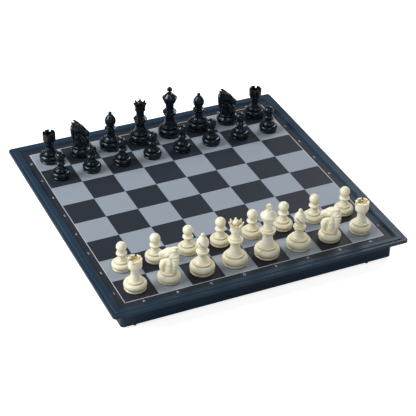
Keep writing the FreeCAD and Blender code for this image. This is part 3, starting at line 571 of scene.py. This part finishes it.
def foot_profile(radius, belly, pad):
    """Radius and height up the turned foot of a knight: pad, plinth, groove, belly and bead."""
    groove = (radius - GROOVE_INSET, GROOVE_HIGH)
    widest = (radius, GROOVE_HIGH + (belly - GROOVE_HIGH) * BELLY_WIDEST)
    shoulder = (radius - SHOULDER_INSET, belly)
    bead = (radius - BEAD_INSET, belly)
    bead_widest = (radius - BEAD_INSET + BEAD_SWELL, belly + BEAD_HIGH / 2)
    top = (radius - BEAD_INSET, belly + BEAD_HIGH)
    return [
        (radius - PAD_INSET, 0.0),
        (radius - PAD_INSET, pad),
        (radius - CHAMFER_INSET, pad),
        (radius - PLINTH_INSET, PLINTH_LOW),
        (radius - PLINTH_INSET, PLINTH_HIGH),
        groove,
        *bow(groove, widest, shoulder, BELLY_STEPS),
        bead,
        *bow(bead, bead_widest, top, BEAD_STEPS),
    ]


def knight_mesh(name, men, spot, heading):
    """A horse on its turned foot, in its place on the board."""
    draft = bmesh.new()
    for rings in HORSE_SKINS:
        ring_skin(draft, rings, HORSE_POINTS)
    rough = bpy.data.meshes.new(name)
    draft.to_mesh(rough)
    draft.free()
    smooth = melt(rough)
    shape = bmesh.new()
    shape.from_mesh(smooth)
    bpy.data.meshes.remove(smooth)
    shape.normal_update()
    carve_horse(shape, men.mane_lock / MM)
    profile = foot_profile(men.knight_foot / MM / 2, men.knight_belly / MM, men.pad_thick / MM)
    ring_skin(shape, [(0, up, radius, radius, 0, 0) for radius, up in profile], FOOT_POINTS)
    bmesh.ops.recalc_face_normals(shape, faces=shape.faces)
    shape.transform(Matrix.Translation(spot) @ Matrix.Rotation(heading, 4, "Z") @ Matrix.Scale(MM, 4))
    mesh = bpy.data.meshes.new(name)
    shape.to_mesh(mesh)
    shape.free()
    mesh.shade_smooth()
    mesh.set_sharp_from_angle(angle=SHARP_ANGLE)
    return mesh


# What a user would change.
def colour_property(name, description, default):
    return bpy.props.FloatVectorProperty(
        name=name, description=description, subtype="COLOR", size=3, min=0.0, max=1.0, default=default
    )


def length_property(name, description, default):
    return bpy.props.FloatProperty(
        name=name, description=description, default=default,
        unit="LENGTH", subtype="DISTANCE", min=0.0, precision=5,
    )


def share_property(name, description, default):
    return bpy.props.FloatProperty(
        name=name, description=description, subtype="FACTOR", min=0.0, max=1.0, default=default
    )


def angle_property(name, description, degrees):
    return bpy.props.FloatProperty(
        name=name, description=description, subtype="ANGLE", default=math.radians(degrees)
    )


class ChessCaseSettings(bpy.types.PropertyGroup):
    colour: colour_property("Case colour", "Plastic of the two case halves", (0.0165, 0.039, 0.068))
    roughness: share_property("Case roughness", "Gloss of the case plastic", 0.36)
    # Paler colour and width of the highlight painted along the case edges.
    painted_edge_highlight: colour_property("Edge highlight", "Paler plastic along the edges", (0.11, 0.17, 0.22))
    edge: length_property("Edge width", "Width of the paler line along an edge", 0.7 * MM)
    steel: colour_property("Steel colour", "Plates under the board and hinge pins", (0.55, 0.56, 0.58))
    plate_roughness: share_property("Plate roughness", "Gloss of the steel plates", 0.34)
    pin_roughness: share_property("Pin roughness", "Gloss of the hinge pins", 0.2)


class ChessBoardSettings(bpy.types.PropertyGroup):
    square: length_property("Square", "Side of one square", 35.0 * MM)
    line_width: length_property("Line width", "Thin line round the squares", 0.7 * MM)
    mark_size: length_property("Mark size", "Height of the letters and numbers", 4.4 * MM)
    film: length_property("Ink film", "Thickness of the printed marks", 0.04 * MM)
    light: colour_property("Light squares", "Grey of the light squares", (0.318, 0.366, 0.43))
    dark: colour_property("Dark squares", "Black of the dark squares and the border", (0.027, 0.0325, 0.045))
    ink: colour_property("Ink", "Line and marks", (0.62, 0.63, 0.65))
    roughness: share_property("Print roughness", "Gloss of the laminate", 0.4)


class ChessmenSettings(bpy.types.PropertyGroup):
    white: colour_property("White plastic", "Ivory coloured plastic", (0.96, 0.925, 0.73))
    # Colour of the shade painted into the grooves of the white men.
    white_crease_shade: colour_property("White crease shade", "Grooves of the white men", (0.70, 0.55, 0.24))
    black: colour_property("Black plastic", "Black plastic", (0.0032, 0.0048, 0.0085))
    # Colour of the shade painted into the grooves of the black men.
    black_crease_shade: colour_property("Black crease shade", "Grooves of the black men", (0.002, 0.0025, 0.0035))
    felt: colour_property("Felt", "Pads under the men", (0.03, 0.05, 0.035))
    pad_thick: length_property("Pad thickness", "Felt pad under a chessman", 0.5 * MM)
    knight_foot: length_property("Knight's foot", "Widest line of a knight's foot", 22.9 * MM)
    knight_belly: length_property("Knight's belly", "Top of the belly of a knight's foot", 9.2 * MM)
    mane_lock: length_property("Mane lock", "Pitch of the locks of a mane", 3.4 * MM)
    white_heading: angle_property("White heading", "Turn of the white knights", 127.0)
    black_heading: angle_property("Black heading", "Turn of the black knights", -42.0)


class ChessStageSettings(bpy.types.PropertyGroup):
    floor_colour: colour_property("Floor", "Pale floor under the set", (0.92, 0.92, 0.92))
    floor_glow: share_property("Floor glow", "Light of the white sweep itself", 0.85)
    floor_side: length_property("Floor side", "Side of the floor", 12.0)
    room_light: share_property("Room light", "Even light from all round", 0.18)
    eye: bpy.props.FloatVectorProperty(
        name="Eye", description="Place of the camera", subtype="TRANSLATION", unit="LENGTH", size=3,
        default=(-0.5245, -1.1441, 0.8738),
    )
    azimuth: angle_property("Azimuth", "Camera's turn round the set", -25.02)
    elevation: angle_property("Elevation", "Camera's height over the horizon", 34.53)
    roll: angle_property("Roll", "Camera's tilt about its view", 1.2)
    lens: bpy.props.FloatProperty(
        name="Lens", description="Focal length", subtype="DISTANCE_CAMERA", default=125.5
    )


class ChessSettings(bpy.types.PropertyGroup):
    case: bpy.props.PointerProperty(type=ChessCaseSettings, name="Case", description="Case halves")
    board: bpy.props.PointerProperty(type=ChessBoardSettings, name="Board", description="Printed board")
    men: bpy.props.PointerProperty(type=ChessmenSettings, name="Chessmen", description="The 32 men")
    stage: bpy.props.PointerProperty(
        type=ChessStageSettings, name="Stage", description="Floor, lights and camera"
    )


# Operators.
class CHESS_OT_case(bpy.types.Operator):
    """Dress the case halves, the steel plates and the hinge pins"""

    bl_idname = "chess.case"
    bl_label = "Dress the case"

    def execute(self, context):
        settings = context.scene.chess_set.case
        plastic = case_material(settings)
        plate = steel_material("plate_steel", settings.steel, settings.plate_roughness)
        pin = steel_material("pin_steel", settings.steel, settings.pin_roughness)
        for half in HALVES:
            paint(f"{half}_case", plastic)
            paint(f"{half}_steel_plate", plate)
        for place in ("left", "middle", "right"):
            paint(f"hinge_pin_{place}", pin)
        return {"FINISHED"}


class CHESS_OT_board(bpy.types.Operator):
    """Print the squares, the line and the marks on the two board sheets"""

    bl_idname = "chess.board"
    bl_label = "Print the board"

    def execute(self, context):
        settings = context.scene.chess_set.board
        squares = board_material(settings)
        ink = ink_material("pale_ink", settings.ink)
        for half in HALVES:
            paint(f"{half}_board_sheet", squares)
            for mark, tree_of in (("line", line_tree), ("marks", marks_tree)):
                tree, sizes = tree_of(half, settings)
                grow(f"{half}_{mark}", tree, sizes, ink, f"{half}_half")
        return {"FINISHED"}


class CHESS_OT_men(bpy.types.Operator):
    """Give the chessmen their plastic and felt, and the knights their sculpted horses"""

    bl_idname = "chess.men"
    bl_label = "Dress the chessmen"

    def execute(self, context):
        men = context.scene.chess_set.men
        square = context.scene.chess_set.board.square
        ivory = chessman_material("ivory_plastic", men, men.white, men.white_crease_shade, **PLASTICS["white"])
        black = chessman_material("black_plastic", men, men.black, men.black_crease_shade, **PLASTICS["black"])
        finish = {"white": ivory, "black": black}
        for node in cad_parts:
            colour = node.split("_")[0]
            if colour in finish:
                paint(node, finish[colour])
        for colour, heading in (("white", men.white_heading), ("black", men.black_heading)):
            for file in KNIGHT_FILES:
                node = f"{colour}_knight_{file}"
                across = (FILES.index(file) - OUTER_SQUARE) * square
                along = math.copysign(OUTER_SQUARE * square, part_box(node)[0].y)
                mesh = knight_mesh(f"{node}_sculpt", men, Vector((across, along, BOARD_LEVEL)), heading)
                mesh.materials.append(finish[colour])
                piece = new_piece(f"{node}_sculpt", mesh, node)
                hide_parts(node)
        return {"FINISHED"}


# Place and side of each light in metres, and its power in watts.
LIGHTS = {
    "key_light": ((-1.3, 0.3, 1.0), 0.9, 25.0),
    "fill_light": ((0.1, -1.2, 1.6), 0.9, 4.5),
    "back_light": ((1.2, 0.9, 1.1), 0.8, 11.0),
}
SENSOR_WIDTH = 36.0
CLIP_START, CLIP_END = 0.05, 100.0


class CHESS_OT_stage(bpy.types.Operator):
    """Set the floor, the soft lights and the camera"""

    bl_idname = "chess.stage"
    bl_label = "Set the stage"

    def execute(self, context):
        settings = context.scene.chess_set.stage
        self.lay_floor(context, settings)
        self.light_world(context, settings)
        for name, (place, side, power) in LIGHTS.items():
            self.hang_light(context, name, place, side, power)
        self.set_camera(context, settings)
        return {"FINISHED"}

    def lay_floor(self, context, settings):
        """A pale floor that glows for the camera alone and is clear from below."""
        material, tree, shader = new_material(
            "pale_floor",
            roughness=0.9,
            specular_ior_level=0.1,
            base_color=rgba(settings.floor_colour),
            emission_color=rgba(settings.floor_colour, settings.floor_glow),
        )
        clear = tree.nodes.new("ShaderNodeBsdfTransparent")
        either = tree.nodes.new("ShaderNodeMixShader")
        facing = tree.nodes.new("ShaderNodeNewGeometry")
        path = tree.nodes.new("ShaderNodeLightPath")
        link_sockets(
            tree,
            (path.outputs["Is Camera Ray"], shader.inputs["Emission Strength"]),
            (facing.outputs["Backfacing"], either.inputs[0]),
            (shader.outputs[0], either.inputs[1]),
            (clear.outputs[0], either.inputs[2]),
            (either.outputs[0], tree.nodes["Material Output"].inputs["Surface"]),
        )
        half = settings.floor_side / 2
        corners = [(-half, -half, 0), (half, -half, 0), (half, half, 0), (-half, half, 0)]
        mesh = bpy.data.meshes.new("floor")
        mesh.from_pydata(corners, [], [range(len(corners))])
        mesh.materials.append(material)
        floor = bpy.data.objects.new("floor", mesh)
        context.scene.collection.objects.link(floor)

    def light_world(self, context, settings):
        """White for the camera, and an even light on the set."""
        world = bpy.data.worlds.new("studio")
        world.use_nodes = True
        tree = world.node_tree
        shade = tree.nodes["Background"]
        shade.inputs["Color"].default_value = WHITE
        shade.inputs["Strength"].default_value = settings.room_light
        seen = add_node(tree, "ShaderNodeBackground", {"Color": WHITE, "Strength": 1.0})
        path = tree.nodes.new("ShaderNodeLightPath")
        either = tree.nodes.new("ShaderNodeMixShader")
        link_sockets(
            tree,
            (path.outputs["Is Camera Ray"], either.inputs[0]),
            (shade.outputs[0], either.inputs[1]),
            (seen.outputs[0], either.inputs[2]),
            (either.outputs[0], tree.nodes["World Output"].inputs["Surface"]),
        )
        context.scene.world = world
        context.scene.view_settings.view_transform = "Standard"

    def hang_light(self, context, name, place, side, power):
        """A square soft light that faces the set."""
        lamp = bpy.data.lights.new(name, "AREA")
        lamp.size = side
        lamp.energy = power
        light = bpy.data.objects.new(name, lamp)
        light.location = place
        light.rotation_euler = (-Vector(place)).to_track_quat("-Z", "Y").to_euler()
        context.scene.collection.objects.link(light)

    def set_camera(self, context, settings):
        """The camera at the photograph's view."""
        lens = bpy.data.cameras.new("camera")
        lens.lens = settings.lens
        lens.sensor_width = SENSOR_WIDTH
        lens.clip_start = CLIP_START
        lens.clip_end = CLIP_END
        camera = bpy.data.objects.new("camera", lens)
        turn, rise, roll = settings.azimuth, settings.elevation, settings.roll
        ahead = Vector((-math.sin(turn) * math.cos(rise), math.cos(turn) * math.cos(rise), -math.sin(rise)))
        right = ahead.cross(Vector((0.0, 0.0, 1.0))).normalized()
        above = right.cross(ahead)
        across = right * math.cos(roll) + above * math.sin(roll)
        upward = above * math.cos(roll) - right * math.sin(roll)
        turned = Matrix((across, upward, -ahead)).transposed().to_4x4()
        camera.matrix_world = Matrix.Translation(Vector(settings.eye)) @ turned
        context.scene.collection.objects.link(camera)
        context.scene.camera = camera


class CHESS_PT_panel(bpy.types.Panel):
    """Each group of settings, with the operator that uses it"""

    bl_idname = "CHESS_PT_panel"
    bl_label = "Chess set"
    bl_space_type = "VIEW_3D"
    bl_region_type = "UI"
    bl_category = "Chess set"

    def draw(self, context):
        for operator in OPERATORS:
            group = getattr(context.scene.chess_set, operator.bl_idname.split(".")[1])
            box = self.layout.box()
            for name in type(group).__annotations__:
                box.prop(group, name)
            box.operator(operator.bl_idname)


OPERATORS = (CHESS_OT_case, CHESS_OT_board, CHESS_OT_men, CHESS_OT_stage)
CLASSES = (
    ChessCaseSettings,
    ChessBoardSettings,
    ChessmenSettings,
    ChessStageSettings,
    ChessSettings,
    *OPERATORS,
    CHESS_PT_panel,
)


def register():
    for made in CLASSES:
        bpy.utils.register_class(made)
    bpy.types.Scene.chess_set = bpy.props.PointerProperty(type=ChessSettings)


def unregister():
    del bpy.types.Scene.chess_set
    for made in reversed(CLASSES):
        bpy.utils.unregister_class(made)


def main():
    register()
    bpy.ops.chess.case()
    bpy.ops.chess.board()
    bpy.ops.chess.men()
    bpy.ops.chess.stage()


if __name__ == "__main__":
    main()
